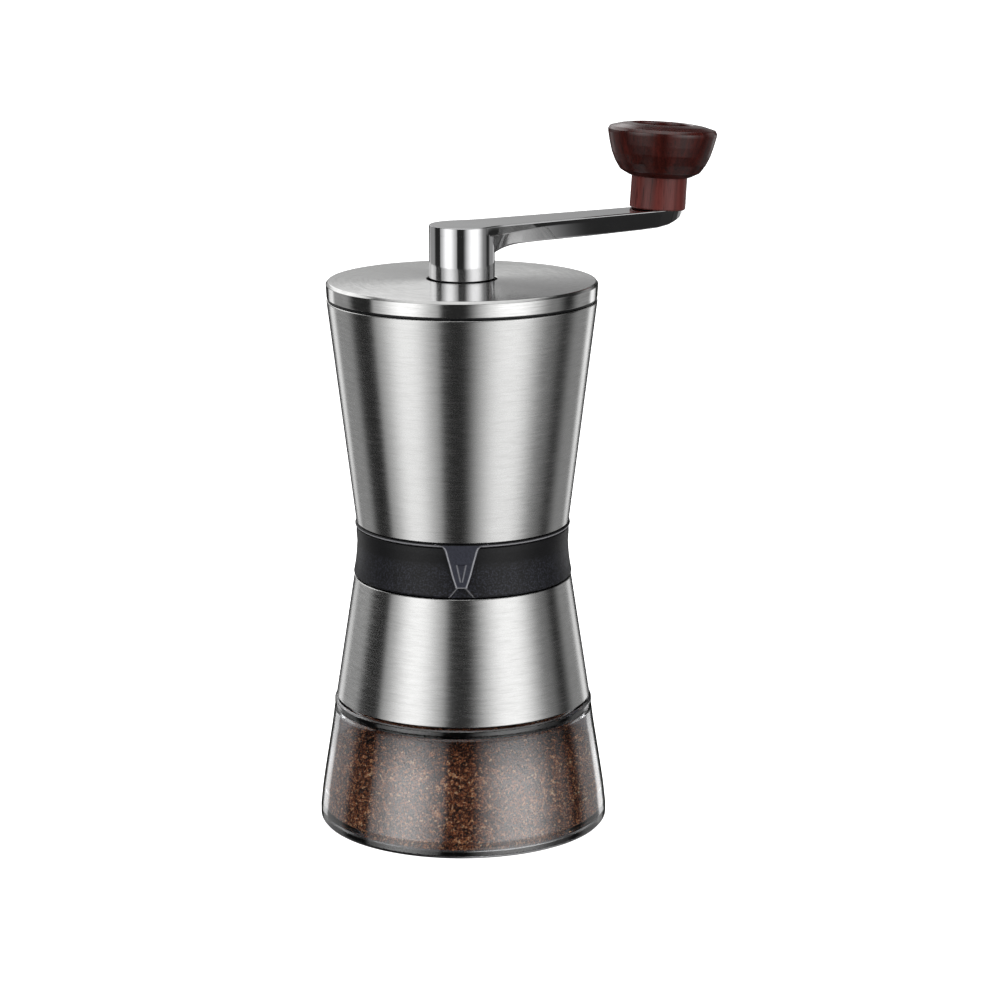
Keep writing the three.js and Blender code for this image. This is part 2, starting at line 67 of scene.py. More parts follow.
SKIRT = ((35.4, 35.24), (69.6, 29.95))
HOPPER = ((84.8, 29.27), (146.2, 36.8))
SHEET = 0.8
CRANK_AZIMUTH = math.radians(32.0)
KNOB_REACH = 64.2
KNOB_LEAN = math.radians(4.0)
ARM_TOP = 166.4
THREAD_LEAD = 12.0
THREAD_SPAN = 54.0  # degrees
THREAD_START = 39.2
THREAD_HEIGHT = 1.2
THREAD_RISE = 0.75

crank_place = Matrix.Rotation(CRANK_AZIMUTH, 4, "Z")
knob_place = (
    crank_place
    @ Matrix.Translation((KNOB_REACH * MM, 0, ARM_TOP * MM))
    @ Matrix.Rotation(KNOB_LEAN, 4, "Y")
)


# ---------------------------------------------------------------- mesh helpers


def add_object(name, data):
    obj = bpy.data.objects.new(name, data)
    bpy.context.scene.collection.objects.link(obj)
    return obj


def discard(objects):
    """Removes helper objects and their meshes."""
    for obj in objects:
        data = obj.data
        bpy.data.objects.remove(obj)
        bpy.data.meshes.remove(data)


def smooth(mesh, sharp):
    """Smooth shading, with edges steeper than an angle in degrees kept sharp."""
    mesh.polygons.foreach_set("use_smooth", [True] * len(mesh.polygons))
    mesh.set_sharp_from_angle(angle=math.radians(sharp))


def bake(obj):
    """Turns an object's modifiers into plain mesh."""
    graph = bpy.context.evaluated_depsgraph_get()
    mesh = bpy.data.meshes.new_from_object(obj.evaluated_get(graph))
    obj.modifiers.clear()
    obj.data = mesh
    return mesh


def mesh_object(name, verts, faces, sharp=35.0, place=None):
    """A smooth-shaded mesh object from vertices in millimetres."""
    mesh = bpy.data.meshes.new(name)
    mesh.from_pydata([tuple(c * MM for c in v) for v in verts], [], faces)
    if place is not None:
        mesh.transform(place)
    mesh.update()
    bm = bmesh.new()
    bm.from_mesh(mesh)
    bmesh.ops.remove_doubles(bm, verts=bm.verts, dist=1e-7)
    bmesh.ops.recalc_face_normals(bm, faces=bm.faces)
    bm.to_mesh(mesh)
    bm.free()
    smooth(mesh, sharp)
    obj = add_object(name, mesh)
    even_normals(obj)
    return obj


def even_normals(obj):
    """Lets wide faces set the shading next to narrow rounded edges."""
    modifier = obj.modifiers.new("even_normals", "WEIGHTED_NORMAL")
    modifier.keep_sharp = True
    modifier.weight = 60


def rounded(points, closed):
    """A profile of (r, z) or (r, z, radius) points with each given corner rounded."""
    out = []
    count = len(points)
    for i, p in enumerate(points):
        here = Vector(p[:2])
        radius = p[2] if len(p) > 2 else 0.0
        if radius <= 0 or (not closed and i in (0, count - 1)):
            out.append(tuple(here))
            continue
        a = Vector(points[i - 1][:2]) - here
        b = Vector(points[(i + 1) % count][:2]) - here
        la, lb = a.length, b.length
        a.normalize()
        b.normalize()
        angle = a.angle(b)
        reach = min(radius / math.tan(angle / 2), 0.48 * la, 0.48 * lb)
        start, end = here + a * reach, here + b * reach
        for k in range(6):
            t = k / 5
            q = start * (1 - t) ** 2 + here * 2 * t * (1 - t) + end * t**2
            out.append(tuple(q))
    return out


def split(points, closed, longest):
    """The same profile with long straight runs cut into shorter ones."""
    out = []
    count = len(points)
    for i in range(count if closed else count - 1):
        a, b = Vector(points[i]), Vector(points[(i + 1) % count])
        parts = max(1, int((b - a).length / longest))
        for k in range(parts):
            out.append(tuple(a.lerp(b, k / parts)))
    if not closed:
        out.append(tuple(points[-1]))
    return out


def revolve(name, points, turns, closed=True, longest=40.0, sharp=35.0, place=None, shift=None):
    """A turned piece. shift(angle, r, z) may return a changed (r, z)."""
    profile = split(rounded(points, closed), closed, longest)
    verts = []
    for k in range(turns):
        angle = 2 * math.pi * k / turns
        for r, z in profile:
            if shift is not None:
                r, z = shift(angle, r, z)
            verts.append((r * math.cos(angle), r * math.sin(angle), z))
    rows = len(profile)
    faces = []
    for k in range(turns):
        n = (k + 1) % turns
        for j in range(rows if closed else rows - 1):
            m = (j + 1) % rows
            quad = [k * rows + j, n * rows + j, n * rows + m, k * rows + m]
            if profile[j][0] < 1e-6:
                quad = [k * rows + j, n * rows + m, k * rows + m]
            elif profile[m][0] < 1e-6:
                quad = [k * rows + j, n * rows + j, k * rows + m]
            faces.append(quad)
    return mesh_object(name, verts, faces, sharp, place)


def store(mesh, name, values):
    """Stores a value per vertex."""
    attribute = mesh.attributes.new(name, "FLOAT", "POINT")
    attribute.data.foreach_set("value", np.array(values, np.float32))


def vertex_value(obj, name, function):
    """Stores a value per vertex, from a function of x, y and z in millimetres."""
    store(obj.data, name, [function(*(c / MM for c in v.co)) for v in obj.data.vertices])


def swap(obj, body, node, material):
    """Puts a finished piece in a CAD node's stead."""
    obj.data.materials.clear()
    obj.data.materials.append(material)
    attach(obj, body)
    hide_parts(node)
    return obj


# ---------------------------------------------------------------- material helpers


class Tree:
    """Shorthand for building a node tree."""

    def __init__(self, tree):
        self.tree = tree
        tree.nodes.clear()

    def add(self, kind, **settings):
        node = self.tree.nodes.new("ShaderNode" + kind)
        for key, value in settings.items():
            setattr(node, key, value)
        return node

    def link(self, a, b):
        self.tree.links.new(a, b)

    def feed(self, value, socket):
        """Sets a socket to a number or colour, or links another socket to it."""
        if isinstance(value, (int, float, tuple)):
            socket.default_value = value
        elif value is not None:
            self.link(value, socket)

    def math(self, operation, a, b=None):
        node = self.add("Math", operation=operation)
        self.feed(a, node.inputs[0])
        self.feed(b, node.inputs[1])
        return node.outputs[0]

    def fall(self, value, outer, inner, level=1.0):
        """A smooth step from 0 at outer to level at inner."""
        node = self.add("MapRange", interpolation_type="SMOOTHSTEP")
        node.inputs["From Min"].default_value = outer
        node.inputs["From Max"].default_value = inner
        node.inputs["To Max"].default_value = level
        self.link(value, node.inputs["Value"])
        return node.outputs["Result"]

    def mix_shader(self, share, a, b):
        node = self.add("MixShader")
        for i, value in enumerate((share, a, b)):
            self.link(value, node.inputs[i])
        return node.outputs[0]


class Nodes(Tree):
    """One material's node tree, round a Principled shader."""

    def __init__(self, name):
        self.material = bpy.data.materials.new(name)
        self.material.use_nodes = True
        super().__init__(self.material.node_tree)
        out = self.add("OutputMaterial")
        self.bsdf = self.add("BsdfPrincipled")
        self.link(self.bsdf.outputs[0], out.inputs["Surface"])

    def set(self, **values):
        for key, value in values.items():
            self.bsdf.inputs[key.replace("_", " ")].default_value = value

    def colour(self, socket):
        self.link(socket, self.bsdf.inputs["Base Color"])

    def rough(self, socket):
        self.link(socket, self.bsdf.inputs["Roughness"])

    def stored(self, name):
        return self.add("Attribute", attribute_name=name).outputs["Fac"]

    def scaled(self, vector, scale):
        mapping = self.add("Mapping")
        mapping.inputs["Scale"].default_value = scale
        self.link(vector, mapping.inputs["Vector"])
        return mapping.outputs["Vector"]

    def coords(self, scale=(1, 1, 1)):
        return self.scaled(self.add("TexCoord").outputs["Object"], scale)

    def place(self):
        """Object coordinates as x, y and z, in metres."""
        parts = self.add("SeparateXYZ")
        self.link(self.add("TexCoord").outputs["Object"], parts.inputs[0])
        return parts.outputs

    def noise(self, vector, scale, detail=4.0, roughness=0.5, distortion=0.0):
        tex = self.add("TexNoise")
        tex.inputs["Scale"].default_value = scale
        tex.inputs["Detail"].default_value = detail
        tex.inputs["Roughness"].default_value = roughness
        tex.inputs["Distortion"].default_value = distortion
        self.link(vector, tex.inputs["Vector"])
        return tex.outputs["Fac"]

    def ramp(self, fac, stops):
        node = self.add("ValToRGB")
        elements = node.color_ramp.elements
        while len(elements) > 1:
            elements.remove(elements[-1])
        for i, (pos, colour) in enumerate(stops):
            element = elements[0] if i == 0 else elements.new(pos)
            element.position = pos
            element.color = (*colour, 1.0)
        self.link(fac, node.inputs["Fac"])
        return node.outputs["Color"]

    def range(self, fac, low, high, from_low=0.0, from_high=1.0):
        node = self.add("MapRange")
        node.inputs["From Min"].default_value = from_low
        node.inputs["From Max"].default_value = from_high
        node.inputs["To Min"].default_value = low
        node.inputs["To Max"].default_value = high
        self.link(fac, node.inputs["Value"])
        return node.outputs["Result"]

    def mix(self, share, a, b, blend_type="MIX"):
        """A colour between a and b, or b blended onto a."""
        node = self.add("Mix", data_type="RGBA", blend_type=blend_type)
        self.feed(share, node.inputs[0])
        self.feed(a, node.inputs[6])
        self.feed(b, node.inputs[7])
        return node.outputs[2]

    def bump(self, height, strength, distance):
        node = self.add("Bump")
        node.inputs["Strength"].default_value = strength
        node.inputs["Distance"].default_value = distance
        self.link(height, node.inputs["Height"])
        self.link(node.outputs["Normal"], self.bsdf.inputs["Normal"])

    def around_axis(self, around, along, outward):
        """Coordinates that run round the z axis: angle, height and radius, each with its own scale."""
        x, y, z = self.place()
        squares = self.math("ADD", self.math("MULTIPLY", x, x), self.math("MULTIPLY", y, y))
        radius = self.math("SQRT", squares)
        joined = self.add("CombineXYZ")
        unit_x = self.math("DIVIDE", x, self.math("ADD", radius, 1e-5))
        unit_y = self.math("DIVIDE", y, self.math("ADD", radius, 1e-5))
        self.link(self.math("MULTIPLY", unit_x, around), joined.inputs[0])
        self.link(self.math("MULTIPLY", unit_y, around), joined.inputs[1])
        height = self.math("MULTIPLY", z, along)
        spread = self.math("MULTIPLY", radius, outward)
        self.link(self.math("ADD", height, spread), joined.inputs[2])
        return joined.outputs[0]


BRUSH_LINES = 2600.0
BRUSH_ROUND = 4.0


def brushed_steel(name, outward=0.0, base=0.70, rough=0.25, stretch=0.82):
    """Stainless steel brushed round the body: fine lines round the axis, with short broken streaks."""
    n = Nodes(name)
    fine = n.noise(n.around_axis(BRUSH_ROUND, BRUSH_LINES, outward), 1.0, 3.0, 0.65)
    streak = n.noise(n.around_axis(BRUSH_ROUND * 2.2, BRUSH_LINES * 0.42, outward * 0.42), 1.0, 2.0, 0.6)
    cloud = n.noise(n.coords(), 55.0, 2.0, 0.5)
    mix = n.math("ADD", n.math("MULTIPLY", fine, 0.6), n.math("MULTIPLY", streak, 0.4))
    n.colour(n.ramp(mix, [
        (0.30, (base * 0.84, base * 0.84, base * 0.83)), (0.5, (base, base, base * 0.99)),
        (0.70, (base * 1.14, base * 1.14, base * 1.13)),
    ]))
    lines = n.range(mix, rough - 0.03, rough + 0.05, 0.3, 0.7)
    n.rough(n.math("ADD", lines, n.range(cloud, -0.012, 0.015)))
    n.bump(mix, 0.018, 0.00003)
    n.set(Metallic=1.0, Anisotropic=stretch, Anisotropic_Rotation=0.25, IOR=2.5)
    tangent = n.add("Tangent", direction_type="RADIAL", axis="Z")
    n.link(tangent.outputs[0], n.bsdf.inputs["Tangent"])
    return n.material


def polished_metal(name, colour, rough, scratch):
    """Plated or polished metal with faint wear."""
    n = Nodes(name)
    wear = n.noise(n.coords(), 160.0, 5.0, 0.6)
    lines = n.noise(n.coords((1, 1, 9)), 700.0, 2.0, 0.5)
    n.colour(n.ramp(wear, [(0.3, tuple(c * 0.93 for c in colour)), (0.7, colour)]))
    worn = n.range(wear, rough, rough + scratch, 0.35, 0.7)
    n.rough(n.math("ADD", worn, n.range(lines, 0.0, scratch * 0.5)))
    n.bump(lines, 0.02, 0.00002)
    n.set(Metallic=1.0)
    return n.material


def textured_plastic(name):
    """Black plastic: spark-eroded below the pinch of the waist, smoother above it and darkened there as painted
    shade; edges lightened as a painted highlight, with some wear.
    """
    n = Nodes(name)
    where = n.coords()
    grain = n.noise(where, 3300.0, 3.0, 0.6)
    patch = n.noise(where, 70.0, 3.0, 0.5)
    specks = n.noise(where, 2300.0, 1.0, 0.5)
    face = n.stored("pointer_face")
    # Painted shade: above the pinch the speckle colour is darkened, standing in for the shade under the
    # hopper's overhang, and the grain bump is dropped; the pointer's face keeps both.
    below = n.math("MAXIMUM", n.range(n.place()[2], 1.0, 0.12, 0.0772, 0.0796), face)
    light = n.math("MULTIPLY", n.range(specks, 0.0, 1.0, 0.44, 0.72), below)
    light = n.math("MULTIPLY", light, n.range(patch, 0.5, 1.2))
    light = n.math("ADD", light, n.math("MULTIPLY", face, 0.75))
    speckled = n.mix(light, (0.0035, 0.0035, 0.0042, 1), (0.034, 0.036, 0.050, 1))
    # Painted highlight with some wear: bevelled edges, the collar's lip and the index flat's rim lightened
    # towards pale grey.
    edge_wear_highlight = n.math("MULTIPLY", n.stored("edge_wear_and_highlight"), n.range(grain, 0.7, 1.0, 0.3, 0.7))
    n.colour(n.mix(edge_wear_highlight, speckled, (0.55, 0.55, 0.58, 1)))
    n.rough(n.range(grain, 0.36, 0.54, 0.3, 0.7))
    n.bump(n.math("MULTIPLY", grain, below), 0.35, 0.00006)
    n.set(IOR=1.45, Specular_IOR_Level=0.42)
    return n.material


def smooth_plastic(name, colour, rough=0.35):
    n = Nodes(name)
    where = n.coords()
    patch = n.noise(where, 120.0, 3.0, 0.5)
    fine = n.noise(where, 2200.0, 2.0, 0.5)
    n.colour(n.ramp(patch, [(0.3, colour), (0.7, tuple(c * 1.35 for c in colour))]))
    n.rough(n.range(fine, rough - 0.04, rough + 0.06, 0.3, 0.7))
    n.bump(fine, 0.08, 0.00003)
    n.set(IOR=1.45, Specular_IOR_Level=0.35)
    return n.material


def ceramic_material(name):
    n = Nodes(name)
    where = n.coords()
    grain = n.noise(where, 1500.0, 4.0, 0.6)
    tone = n.noise(where, 130.0, 3.0, 0.5)
    n.colour(n.ramp(tone, [(0.3, (0.74, 0.71, 0.64)), (0.7, (0.86, 0.84, 0.79))]))
    n.rough(n.range(grain, 0.38, 0.58, 0.3, 0.7))
    n.bump(grain, 0.2, 0.00004)
    return n.material


def clear_glass(name):
    """Clear pressed glass, faintly cool, with soft wide reflections low down and on the bead."""
    n = Nodes(name)
    waves = n.noise(n.coords((1, 1, 0.4)), 38.0, 2.0, 0.5)
    n.colour(n.ramp(waves, [(0.3, (0.94, 0.955, 0.975)), (0.7, (0.975, 0.985, 1.0))]))
    n.rough(n.range(waves, 0.0, 0.012, 0.3, 0.7))
    height = n.place()[2]
    bead = n.range(height, 0.0, 0.8, 0.0322, 0.0332)
    film = n.math("MAXIMUM", n.range(height, 0.1, 1.0, 0.033, 0.020), bead)
    n.link(film, n.bsdf.inputs["Coat Weight"])
    n.bump(waves, 0.02, 0.0002)
    n.set(Transmission_Weight=1.0, IOR=1.5, Coat_Roughness=0.11, Coat_IOR=1.85)
    return n.material


def lacquered_wood(name, place):
    """Dark red mahogany turned along its own axis, under a satin lacquer, with a paler neck."""
    n = Nodes(name)
    mapping = n.add("Mapping", vector_type="POINT")
    inverse = place.inverted()
    mapping.inputs["Location"].default_value = inverse.to_translation()
    mapping.inputs["Rotation"].default_value = inverse.to_euler()
    n.link(n.add("TexCoord").outputs["Object"], mapping.inputs["Vector"])
    own_axis = mapping.outputs[0]
    fibres = n.scaled(own_axis, (1, 1, 0.07))
    grain = n.noise(fibres, 620.0, 6.0, 0.62, 0.4)
    rings = n.noise(fibres, 130.0, 3.0, 0.5, 1.0)
    pores = n.noise(n.scaled(own_axis, (1, 1, 0.06)), 2100.0, 2.0, 0.5)
    dark = n.ramp(grain, [
        (0.30, (0.020, 0.0022, 0.0014)), (0.50, (0.044, 0.0050, 0.0030)), (0.70, (0.075, 0.0092, 0.0056)),
    ])
    pale = n.ramp(grain, [
        (0.30, (0.075, 0.015, 0.012)), (0.50, (0.115, 0.026, 0.022)), (0.70, (0.165, 0.044, 0.038)),
    ])
    ring_tint = n.ramp(rings, [(0.3, (0.72, 0.72, 0.72)), (0.7, (1.2, 1.12, 1.12))])
    pore_tint = n.ramp(pores, [(0.30, (0.45, 0.4, 0.4)), (0.42, (1, 1, 1))])
    ringed = n.mix(1.0, n.mix(n.stored("neck"), dark, pale), ring_tint, "MULTIPLY")
    n.colour(n.mix(1.0, ringed, pore_tint, "MULTIPLY"))
    n.rough(n.range(grain, 0.42, 0.58, 0.3, 0.7))
    n.bump(n.math("ADD", grain, n.math("MULTIPLY", pores, 0.6)), 0.12, 0.00006)
    n.link(n.range(n.stored("crown"), 0.24, 1.0), n.bsdf.inputs["Coat Weight"])
    n.set(Coat_Roughness=0.17, Coat_IOR=1.75, IOR=1.45, Specular_IOR_Level=0.15)
    return n.material


def coffee_material(name):
    """Roasted coffee: grains and bed both run from near black to tan chaff, and darken towards the top as
    painted shade under the skirt.
    """
    n = Nodes(name)
    where = n.coords()
    fine = n.noise(where, 1900.0, 5.0, 0.75)
    wobble = n.noise(where, 900.0, 2.0, 0.5)
    cells = n.add("TexVoronoi", feature="F1")
    cells.inputs["Scale"].default_value = 1150.0
    moved = n.add("VectorMath", operation="ADD")
    shift = n.add("VectorMath", operation="SCALE")
    shift.inputs[3].default_value = 0.0006
    joined = n.add("CombineXYZ")
    for i, value in enumerate((wobble, fine, wobble)):
        n.link(value, joined.inputs[i])
    n.link(joined.outputs[0], shift.inputs[0])
    n.link(where, moved.inputs[0])
    n.link(shift.outputs[0], moved.inputs[1])
    n.link(moved.outputs[0], cells.inputs["Vector"])
    grains = n.add("SeparateColor")
    n.link(cells.outputs["Color"], grains.inputs[0])
    cell_tint = n.math("MULTIPLY", n.stored("bed"), n.range(grains.outputs[0], -0.34, 0.46))
    # Painted shade: darker towards the top of the coffee, which lies in the shade under the grinder's skirt.
    shaded = n.math("ADD", cell_tint, n.range(n.place()[2], -0.03, -0.30, 0.021, 0.031))
    mixed = n.math("ADD", n.stored("grain_tint"), shaded)
    mixed = n.math("ADD", mixed, n.range(fine, -0.62, 0.66, 0.30, 0.70))
    n.colour(n.ramp(mixed, [
        (0.0, (0.020, 0.006, 0.003)), (0.25, (0.090, 0.027, 0.012)), (0.48, (0.29, 0.092, 0.040)),
        (0.68, (0.60, 0.22, 0.092)), (0.86, (0.95, 0.48, 0.22)), (1.0, (1.0, 0.86, 0.60)),
    ]))
    n.rough(n.range(fine, 0.6, 0.9, 0.3, 0.7))
    n.bump(n.math("ADD", fine, n.math("MULTIPLY", cells.outputs["Distance"], -0.8)), 0.6, 0.00025)
    n.set(IOR=1.45, Specular_IOR_Level=0.12)
    return n.material


steel = brushed_steel("brushed_steel")
steel_lid = brushed_steel("brushed_steel_lid", outward=BRUSH_LINES, base=0.76, rough=0.165, stretch=0.92)
chrome = polished_metal("polished_crank", (0.83, 0.83, 0.84), 0.035, 0.03)
plated = polished_metal("plated_steel", (0.60, 0.61, 0.62), 0.26, 0.12)
bronze = polished_metal("turned_bronze", (0.62, 0.47, 0.24), 0.22, 0.12)
black = textured_plastic("textured_black")
liner_black = smooth_plastic("liner_black", (0.004, 0.0042, 0.005))
rubber = smooth_plastic("seal_rubber", (0.006, 0.006, 0.007), 0.6)
ceramic = ceramic_material("ceramic")
glass = clear_glass("clear_glass")
wood = lacquered_wood("mahogany", knob_place)
coffee = coffee_material("coffee")

# ---------------------------------------------------------------- steel sleeves


def cone_radius(cone, z):
    (z0, r0), (z1, r1) = cone
    return r0 + (z - z0) / (z1 - z0) * (r1 - r0)


def sleeve(name, cone):
    (z0, r0), (z1, r1) = cone
    return revolve(
        name,
        [(r0, z0, 0.34), (r1, z1, 0.34), (r1 - SHEET, z1, 0.2), (r0 - SHEET, z0, 0.2)],
        turns=256,
        longest=4.0,
    )


swap(sleeve("skirt_steel", SKIRT), "housing", "skirt_sleeve", steel)
swap(sleeve("hopper_steel", HOPPER), "housing", "hopper_sleeve", steel)

# ---------------------------------------------------------------- glass jar with its thread


def ridge(angle, z):
    """How far the neck's thread stands out at an angle (radians) and height: one of three short ridges."""
    best = 0.0
    for k in range(3):
        along = (math.degrees(angle) - 120.0 * k) % 360.0
        if along > THREAD_SPAN:
            along = along - 360.0 if along > 340.0 else None
        if along is None:
            continue
        centre = THREAD_START + THREAD_LEAD * along / 360.0
        off_crest = max(0.0, abs(z - centre) - THREAD_HEIGHT * 0.28)
        flank = max(0.0, 1.0 - off_crest / (THREAD_HEIGHT * 0.34))
        ends = min(1.0, max(0.0, (along + 4.0) / 6.0), max(0.0, (THREAD_SPAN + 4.0 - along) / 6.0))
        best = max(best, min(flank, 1.0) * ends)
    return THREAD_RISE * best * best * (3 - 2 * best)


def jar_shift(angle, r, z):
    if r > 29.9 and 38.0 < z < 44.5:
        r += ridge(angle, z)
    return r, z


def jar():
    outside = [
        (0.0, 0.0), (39.35, 0.0, 0.3), (39.97, 0.75, 0.8), (39.97, 3.2, 3.0), (39.3, 9.2, 12), (38.4, 15.1, 12),
        (36.5, 26.9, 12), (35.85, 31.7, 0.5), (35.35, 32.3, 0.25), (35.4, 32.75, 0.25), (35.75, 33.15, 0.4),
        (35.75, 34.3, 0.45), (35.2, 34.75, 0.3), (30.0, 34.75, 0.3),
    ]
    neck = [(30.0, 35.4 + 0.24 * k) for k in range(42)]
    inside = [
        (30.0, 46.0, 0.7), (27.8, 46.0, 0.7), (27.8, 33.6, 2.0), (33.1, 31.4, 2.2), (35.4, 21.0, 12),
        (37.85, 9.2, 8), (38.6, 4.2, 2.0), (37.9, 1.2, 1.3), (0.0, 1.2),
    ]
    return revolve("jar_glass", outside + neck + inside, closed=False, turns=240, sharp=60, shift=jar_shift)


jar_glass = swap(jar(), "jar", "jar", glass)
jar_glass.visible_shadow = False
swap(
    revolve(
        "jar_gasket",
        [(30.3, 34.9, 0.1), (34.2, 34.9, 0.25), (34.2, 35.7, 0.25), (30.3, 35.7, 0.1)],
        turns=160,
    ),
    "jar_seal", "jar_seal", rubber,
)

# ---------------------------------------------------------------- ground coffee

GRAINS = 46000
GRAIN_SEED = 11
BED_SINK = 0.4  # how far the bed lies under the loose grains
JAR_WALL = [(1.2, 36.9), (1.7, 37.8), (4.2, 38.4), (9.2, 37.75), (21.0, 35.35), (31.4, 33.05), (33.6, 27.8)]


def heap_height(x, y):
    """Top of the coffee at a place, in millimetres: a heap that falls towards the wall, with clods."""
    r = math.hypot(x, y)
    share = min(r / 35.0, 1.0)
    top = 34.0 - 11.0 * share**2.2
    top += 1.5 * noise.noise(Vector((x * 0.09, y * 0.09, 1.7)))
    top += 0.8 * noise.noise(Vector((x * 0.3, y * 0.3, 4.1)))
    return top


def wall_radius(z):
    """Inner radius of the jar at a height, a little inside the glass."""
    for (z0, r0), (z1, r1) in zip(JAR_WALL, JAR_WALL[1:]):
        if z <= z1:
            return r0 + (r1 - r0) * (z - z0) / (z1 - z0) - 0.12
    return 27.6


def coffee_bed():
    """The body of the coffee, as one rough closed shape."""
    turns, verts, faces = 200, [], []
    side = [1.3, 1.9, 2.8, 4.2, 5.8, 7.4] + [9.0 + 0.75 * k for k in range(30)]
    rows = len(side)
    rings = 34
    for k in range(turns):
        angle = 2 * math.pi * k / turns
        c, s = math.cos(angle), math.sin(angle)
        rim_r = wall_radius(20.0) - 0.5
        top = heap_height(rim_r * c, rim_r * s) - BED_SINK
        for z in side:
            level = min(z, top)
            lump = 0.35 * noise.noise(Vector((angle * 22.0, level * 0.9, 7.7)))
            r = wall_radius(level) - 0.45 + lump
            verts.append((r * c, r * s, level))
        for j in range(1, rings):
            r = (wall_radius(top) - 0.45) * (1 - j / rings)
            x, y = r * c, r * s
            lump = 0.3 * noise.noise(Vector((x * 0.8, y * 0.8, 2.2)))
            verts.append((x, y, heap_height(x, y) - BED_SINK + lump))
    per = rows + rings - 1
    for k in range(turns):
        n = (k + 1) % turns
        for j in range(per - 1):
            faces.append([k * per + j, n * per + j, n * per + j + 1, k * per + j + 1])
    verts.append((0, 0, heap_height(0, 0) - BED_SINK))
    verts.append((0, 0, 1.3))
    for k in range(turns):
        n = (k + 1) % turns
        faces.append([k * per + per - 1, n * per + per - 1, len(verts) - 2])
        faces.append([n * per, k * per, len(verts) - 1])
    return verts, faces


def coffee_grains(count, rng):
    """Loose grains pressed against the glass and lying on the heap, with a tint for each grain."""
    shape = np.array([(1, 0, 0), (-1, 0, 0), (0, 1, 0), (0, -1, 0), (0, 0, 1), (0, 0, -1)], float)
    triangles = [(0, 2, 4), (2, 1, 4), (1, 3, 4), (3, 0, 4), (2, 0, 5), (1, 2, 5), (3, 1, 5), (0, 3, 5)]
    verts, faces, tints = [], [], []
    for i in range(count):
        angle = rng.uniform(0, 2 * math.pi)
        size = 0.20 + 0.95 * rng.random() ** 5
        if i % 3:
            z = rng.uniform(1.5, 27.0)
            edge = wall_radius(z)
            if z > heap_height(edge * math.cos(angle), edge * math.sin(angle)) + 0.2:
                continue
            if i % 140 == 1:
                size = rng.uniform(0.9, 1.35)
            r = edge - rng.uniform(0.0, 0.35) - size * 0.35
        else:
            r = 34.0 * math.sqrt(rng.random())
            z = heap_height(r * math.cos(angle), r * math.sin(angle)) + rng.uniform(-0.5, 0.35)
            r = min(r, wall_radius(z) - size - 0.1)
        flat = rng.uniform(0.25, 0.9, 3) * size
        flat[rng.integers(3)] = size * rng.uniform(0.9, 1.5)
        points = shape * flat * rng.uniform(0.6, 1.25, (6, 1)) + rng.uniform(-0.12, 0.12, (6, 3)) * size
        turn = Matrix.Rotation(rng.uniform(0, 6.28), 3, Vector(rng.normal(size=3)).normalized())
        points = points @ np.array(turn).T + np.array([r * math.cos(angle), r * math.sin(angle), z])
        reach = np.hypot(points[:, 0], points[:, 1])
        limit = np.array([wall_radius(q) for q in points[:, 2]])
        points[:, :2] *= np.minimum(1.0, limit / np.maximum(reach, 1e-6))[:, None]
        points[:, 2] = np.maximum(points[:, 2], 1.26)
        start = len(verts)
        verts.extend(points.tolist())
        faces.extend([tuple(start + q for q in t) for t in triangles])
        draw = rng.random()
        tint = 0.04 + 0.56 * rng.random()
        if draw > 0.985:
            tint = rng.uniform(0.86, 1.02)
        elif draw > 0.86:
            tint = rng.uniform(0.60, 0.84)
        if size > 0.9:
            tint = rng.uniform(0.35, 0.80)
        tints.extend([tint] * 6)
    return verts, faces, tints


def coffee_grounds():
    bed_verts, bed_faces = coffee_bed()
    grain_verts, grain_faces, tints = coffee_grains(GRAINS, np.random.default_rng(GRAIN_SEED))
    offset = len(bed_verts)
    verts = bed_verts + [tuple(v) for v in grain_verts]
    faces = bed_faces + [[i + offset for i in f] for f in grain_faces]
    mesh = bpy.data.meshes.new("coffee_grounds")
    mesh.from_pydata([tuple(c * MM for c in v) for v in verts], [], faces)
    mesh.update()
    store(mesh, "grain_tint", [0.30] * offset + tints)
    store(mesh, "bed", [1.0] * offset + [0.0] * len(tints))
    mesh.materials.append(coffee)
    obj = add_object("coffee_grounds", mesh)
    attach(obj, "jar")


coffee_grounds()

# ---------------------------------------------------------------- waist: click ring and collar with pointer

RING_PROFILE = [
    (27.0, 70.0, 0.2), (29.8, 70.0, 0.3), (30.1, 70.5, 0.4), (29.62, 73.1, 3), (29.3, 75.9, 4), (29.1, 79.0, 4),
    (29.3, 81.8, 3), (29.25, 83.5, 0.3), (27.0, 83.5, 0.2),
]
# Right half of the pointer's outline as (half width, z), from the collar down to the tip.
POINTER_OUTLINE = [
    (7.4, 84.55), (6.3, 84.42), (5.5, 84.15), (4.9, 83.7), (4.5, 83.0), (4.05, 81.3), (3.4, 79.0), (2.8, 76.6),
    (2.1, 74.4), (1.62, 73.0), (1.35, 72.78),
]
POINTER_TOP = 84.55
POINTER_TIP = 72.8
ARROW_LOW = 74.6
ARROW_HIGH = 79.3


def flat_half(z):
    """Half the width of the ring's index flat at a height."""
    return 1.55 + (72.3 - z) * 0.85


def ring_shift(angle, r, z):
    """Cuts the index flat into the ring's front, under the pointer's tip."""
    x, y = r * math.cos(angle), r * math.sin(angle)
    if r > 28.5 and y < 0:
        inside = flat_half(z) - abs(x)
        if z < 72.45 and inside > 0:
            depth = min(1.0, inside / 0.35, (72.45 - z) / 0.35)
            return r - (r - 29.42) * max(0.0, depth), z
    return r, z


def index_line(x, y, z):
    """Where the rim of the index flat is lightened: a painted highlight along the rim, with some wear."""
    half = flat_half(z)
    if y > 0 or z > 72.6 or half <= 0:
        return 0.0
    return 0.75 * math.exp(-(((abs(x) - half + 0.1) / 0.16) ** 2))


